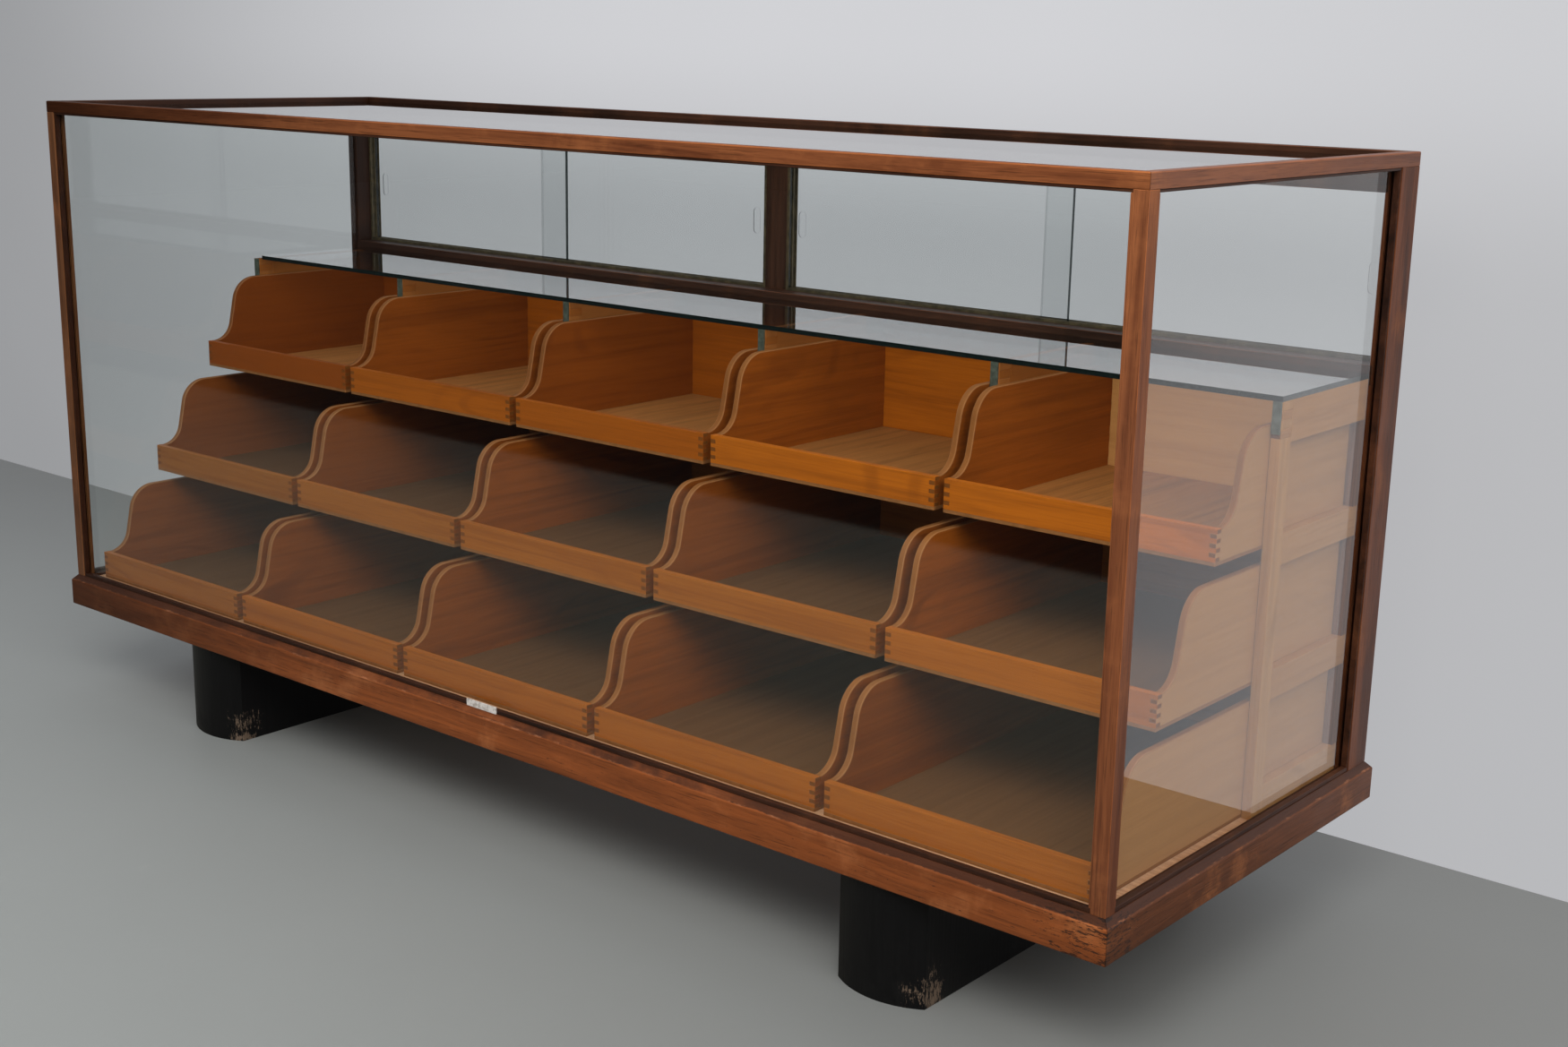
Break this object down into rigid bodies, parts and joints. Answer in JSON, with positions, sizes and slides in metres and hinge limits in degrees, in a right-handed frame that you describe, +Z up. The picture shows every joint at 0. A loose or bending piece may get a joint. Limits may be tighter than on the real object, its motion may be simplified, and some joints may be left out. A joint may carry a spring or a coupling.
{
  "type": "haberdashery cabinet",
  "caption": "Glazed shop counter on bearers: stepped trays that pull out at the back below a glass shelf closed by sliding glass doors.",
  "frame": {"origin": "on the ground, under the middle of the overall width and depth", "axes": "+Z up, +X to the right seen from the customer's side, -Y towards the customer, trays pull out towards +Y"},
  "size_m": [1.83, 0.6126, 0.887],
  "materials": {
    "mahogany": "satin polished mahogany, worn",
    "bead_wood": "dark stained glazing beads",
    "partition_wood": "pale waxed wood",
    "tray_wood": "golden waxed wood",
    "floor_wood": "plain board",
    "pane_glass": "clear plate",
    "shelf_glass": "clear plate with green edges",
    "door_glass": "clear plate with ground grips",
    "channel_brass": "dulled brass",
    "plate_brass": "grey-green patina",
    "label_metal": "dulled",
    "black_paint": "worn black paint"
  },
  "bodies": {
    "carcass": {"base_back_rail": "mahogany", "base_front_rail": "mahogany", "base_left_rail": "mahogany", "base_right_rail": "mahogany", "floor_board": "floor_wood", "front_beads": "bead_wood", "front_left_post": "mahogany", "front_pane": "pane_glass", "front_right_post": "mahogany", "glass_shelf": "shelf_glass", "head_rail": "mahogany", "left_end_beads": "bead_wood", "left_end_pane": "pane_glass", "left_foot": "black_paint", "lower_door_channels": "channel_brass", "partition_1": "partition_wood", "partition_2": "partition_wood", "partition_3": "partition_wood", "partition_4": "partition_wood", "partition_5": "partition_wood", "partition_6": "partition_wood", "rear_centre_post": "mahogany", "rear_left_post": "mahogany", "rear_mid_rail": "mahogany", "rear_muntins": "mahogany", "rear_right_post": "mahogany", "right_end_beads": "bead_wood", "right_end_pane": "pane_glass", "right_foot": "black_paint", "shelf_plates": "plate_brass", "sill_label": "label_metal", "top_back_rail": "mahogany", "top_front_rail": "mahogany", "top_left_rail": "mahogany", "top_pane": "pane_glass", "top_right_rail": "mahogany", "tray_runners": "partition_wood", "upper_door_channels": "channel_brass", "upright_door_channels": "channel_brass"},
    "bottom_tray_1_body": {"bottom_tray_1": "tray_wood"},
    "bottom_tray_2_body": {"bottom_tray_2": "tray_wood"},
    "bottom_tray_3_body": {"bottom_tray_3": "tray_wood"},
    "bottom_tray_4_body": {"bottom_tray_4": "tray_wood"},
    "bottom_tray_5_body": {"bottom_tray_5": "tray_wood"},
    "middle_tray_1_body": {"middle_tray_1": "tray_wood"},
    "middle_tray_2_body": {"middle_tray_2": "tray_wood"},
    "middle_tray_3_body": {"middle_tray_3": "tray_wood"},
    "middle_tray_4_body": {"middle_tray_4": "tray_wood"},
    "middle_tray_5_body": {"middle_tray_5": "tray_wood"},
    "top_tray_1_body": {"top_tray_1": "tray_wood"},
    "top_tray_2_body": {"top_tray_2": "tray_wood"},
    "top_tray_3_body": {"top_tray_3": "tray_wood"},
    "top_tray_4_body": {"top_tray_4": "tray_wood"},
    "top_tray_5_body": {"top_tray_5": "tray_wood"},
    "left_outer_door_body": {"left_outer_door": "door_glass"},
    "left_inner_door_body": {"left_inner_door": "door_glass"},
    "right_inner_door_body": {"right_inner_door": "door_glass"},
    "right_outer_door_body": {"right_outer_door": "door_glass"}
  },
  "joints": [
    {"name": "bottom_tray_1_slide", "type": "slide", "parent": "carcass", "child": "bottom_tray_1_body", "axis": [0, 1, 0], "range_m": [0, 0.36]},
    {"name": "bottom_tray_2_slide", "type": "slide", "parent": "carcass", "child": "bottom_tray_2_body", "axis": [0, 1, 0], "range_m": [0, 0.36]},
    {"name": "bottom_tray_3_slide", "type": "slide", "parent": "carcass", "child": "bottom_tray_3_body", "axis": [0, 1, 0], "range_m": [0, 0.36]},
    {"name": "bottom_tray_4_slide", "type": "slide", "parent": "carcass", "child": "bottom_tray_4_body", "axis": [0, 1, 0], "range_m": [0, 0.36]},
    {"name": "bottom_tray_5_slide", "type": "slide", "parent": "carcass", "child": "bottom_tray_5_body", "axis": [0, 1, 0], "range_m": [0, 0.36]},
    {"name": "middle_tray_1_slide", "type": "slide", "parent": "carcass", "child": "middle_tray_1_body", "axis": [0, 1, 0], "range_m": [0, 0.29]},
    {"name": "middle_tray_2_slide", "type": "slide", "parent": "carcass", "child": "middle_tray_2_body", "axis": [0, 1, 0], "range_m": [0, 0.29]},
    {"name": "middle_tray_3_slide", "type": "slide", "parent": "carcass", "child": "middle_tray_3_body", "axis": [0, 1, 0], "range_m": [0, 0.29]},
    {"name": "middle_tray_4_slide", "type": "slide", "parent": "carcass", "child": "middle_tray_4_body", "axis": [0, 1, 0], "range_m": [0, 0.29]},
    {"name": "middle_tray_5_slide", "type": "slide", "parent": "carcass", "child": "middle_tray_5_body", "axis": [0, 1, 0], "range_m": [0, 0.29]},
    {"name": "top_tray_1_slide", "type": "slide", "parent": "carcass", "child": "top_tray_1_body", "axis": [0, 1, 0], "range_m": [0, 0.22]},
    {"name": "top_tray_2_slide", "type": "slide", "parent": "carcass", "child": "top_tray_2_body", "axis": [0, 1, 0], "range_m": [0, 0.22]},
    {"name": "top_tray_3_slide", "type": "slide", "parent": "carcass", "child": "top_tray_3_body", "axis": [0, 1, 0], "range_m": [0, 0.22]},
    {"name": "top_tray_4_slide", "type": "slide", "parent": "carcass", "child": "top_tray_4_body", "axis": [0, 1, 0], "range_m": [0, 0.22]},
    {"name": "top_tray_5_slide", "type": "slide", "parent": "carcass", "child": "top_tray_5_body", "axis": [0, 1, 0], "range_m": [0, 0.22]},
    {"name": "left_outer_door_slide", "type": "slide", "parent": "carcass", "child": "left_outer_door_body", "axis": [1, 0, 0], "range_m": [0, 0.4]},
    {"name": "left_inner_door_slide", "type": "slide", "parent": "carcass", "child": "left_inner_door_body", "axis": [-1, 0, 0], "range_m": [0, 0.4]},
    {"name": "right_inner_door_slide", "type": "slide", "parent": "carcass", "child": "right_inner_door_body", "axis": [1, 0, 0], "range_m": [0, 0.4]},
    {"name": "right_outer_door_slide", "type": "slide", "parent": "carcass", "child": "right_outer_door_body", "axis": [-1, 0, 0], "range_m": [0, 0.4]}
  ]
}
